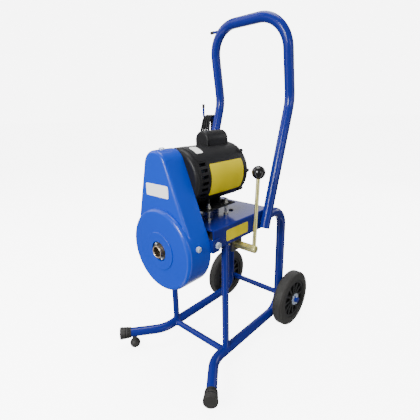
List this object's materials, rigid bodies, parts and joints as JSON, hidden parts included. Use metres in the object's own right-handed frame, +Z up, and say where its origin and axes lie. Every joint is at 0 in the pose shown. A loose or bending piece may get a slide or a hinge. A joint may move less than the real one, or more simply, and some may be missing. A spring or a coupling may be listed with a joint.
{
  "type": "drain cleaning machine",
  "caption": "Wheeled electric drain cleaning machine: motor over a belt guard drum, hollow spindle with clutch lever, bent tube frame, push handle and hung cord.",
  "frame": {"origin": "centre of the object's box on the floor, the cord and plug left out", "axes": "+Z up, the belt guard and cable mouth face -Y, the clutch lever is on the +X side"},
  "size_m": [0.4368, 0.6086, 1.029],
  "materials": {
    "tube_blue": "gloss",
    "bed_blue": "gloss",
    "guard_blue": "satin",
    "motor_black": "satin",
    "zinc": "satin",
    "steel": "satin",
    "dark_steel": "satin",
    "cast_iron": "matt",
    "bronze": "satin",
    "black_plastic": "gloss",
    "rubber": "matt",
    "wheel_plastic": "satin",
    "hook_steel": "gloss",
    "cord_black": "satin",
    "brass": "satin"
  },
  "bodies": {
    "machine": {"side_frame_left": "tube_blue", "side_frame_right": "tube_blue", "front_posts": "tube_blue", "front_crossbar": "tube_blue", "axle_bar": "tube_blue", "handle": "tube_blue", "bed_channel": "bed_blue", "guard_brackets": "bed_blue", "belt_guard": "guard_blue", "guard_back_plate": "guard_blue", "motor_front_bell": "motor_black", "motor_shell": "motor_black", "motor_rear_bell": "motor_black", "motor_foot": "motor_black", "capacitor_cover": "motor_black", "motor_studs": "zinc", "stud_nuts": "zinc", "axle_pins": "steel", "axle_washers": "steel", "handle_bolts": "steel", "bearing_bolts": "steel", "guard_bolts": "steel", "bracket_bolts": "steel", "motor_tie_bolts": "steel", "lever_hangers": "dark_steel", "bearing_front": "cast_iron", "bearing_rear": "cast_iron", "switch_box": "black_plastic", "cord_gland": "black_plastic", "plug": "black_plastic", "foot_caps": "rubber", "foot_balls": "rubber", "hook_tips": "rubber", "v_belt": "rubber", "cord_peg": "hook_steel", "cord_hook": "hook_steel", "cord_lead": "cord_black", "cord_hank": "cord_black", "plug_pins": "brass"},
    "wheel_right": {"wheel_tire_right": "rubber", "wheel_hub_right": "wheel_plastic"},
    "wheel_left": {"wheel_tire_left": "rubber", "wheel_hub_left": "wheel_plastic"},
    "spindle": {"spindle": "steel", "chuck_body": "dark_steel", "nose_bush": "bronze", "nose_ring": "dark_steel", "nose_screws": "steel", "driven_pulley": "cast_iron"},
    "jaw_1": {"jaw_1": "steel"},
    "jaw_2": {"jaw_2": "steel"},
    "jaw_3": {"jaw_3": "steel"},
    "rotor": {"motor_rotor": "steel", "motor_pulley": "cast_iron"},
    "clutch_lever": {"lever_shaft": "zinc", "lever_rod": "zinc", "lever_knob": "black_plastic", "lever_fork": "zinc"},
    "clutch_collar": {"clutch_collar": "dark_steel"},
    "switch_dial": {"switch_dial": "black_plastic"}
  },
  "joints": [
    {"name": "wheel_right_spin", "type": "hinge", "parent": "machine", "child": "wheel_right", "pos_m": [0.15, 0.2043, 0.1], "axis": [1, 0, 0], "continuous": true},
    {"name": "wheel_left_spin", "type": "hinge", "parent": "machine", "child": "wheel_left", "pos_m": [-0.15, 0.2043, 0.1], "axis": [1, 0, 0], "continuous": true},
    {"name": "spindle_spin", "type": "hinge", "parent": "machine", "child": "spindle", "pos_m": [0, -0.1207, 0.406], "axis": [0, 1, 0], "continuous": true},
    {"name": "motor_spin", "type": "hinge", "parent": "machine", "child": "rotor", "pos_m": [-0.008, -0.1207, 0.588], "axis": [0, 1, 0], "continuous": true},
    {"name": "clutch_lever_swing", "type": "hinge", "parent": "machine", "child": "clutch_lever", "pos_m": [0.1, -0.0647, 0.392], "axis": [1, 0, 0], "range_deg": [-18, 18]},
    {"name": "clutch_collar_slide", "type": "slide", "parent": "machine", "child": "clutch_collar", "axis": [0, -1, 0], "range_m": [-0.0045, 0.0045]},
    {"name": "switch_dial_turn", "type": "hinge", "parent": "machine", "child": "switch_dial", "pos_m": [-0.123, -0.0687, 0.589], "axis": [1, 0, 0], "range_deg": [-45, 45]},
    {"name": "jaw_1_slide", "type": "slide", "parent": "spindle", "child": "jaw_1", "axis": [0, 0, -1], "range_m": [-0.0031, 0.0031]},
    {"name": "jaw_2_slide", "type": "slide", "parent": "spindle", "child": "jaw_2", "axis": [0.866, 0, 0.5], "range_m": [-0.0031, 0.0031]},
    {"name": "jaw_3_slide", "type": "slide", "parent": "spindle", "child": "jaw_3", "axis": [-0.866, 0, 0.5], "range_m": [-0.0031, 0.0031]}
  ],
  "couplings": [
    {"joint": "motor_spin", "follows": "spindle_spin", "ratio": 3.1333},
    {"joint": "clutch_collar_slide", "follows": "clutch_lever_swing", "m_per_rad": 0.014},
    {"joint": "jaw_1_slide", "follows": "clutch_lever_swing", "m_per_rad": 0.009549},
    {"joint": "jaw_2_slide", "follows": "clutch_lever_swing", "m_per_rad": 0.009549},
    {"joint": "jaw_3_slide", "follows": "clutch_lever_swing", "m_per_rad": 0.009549}
  ]
}
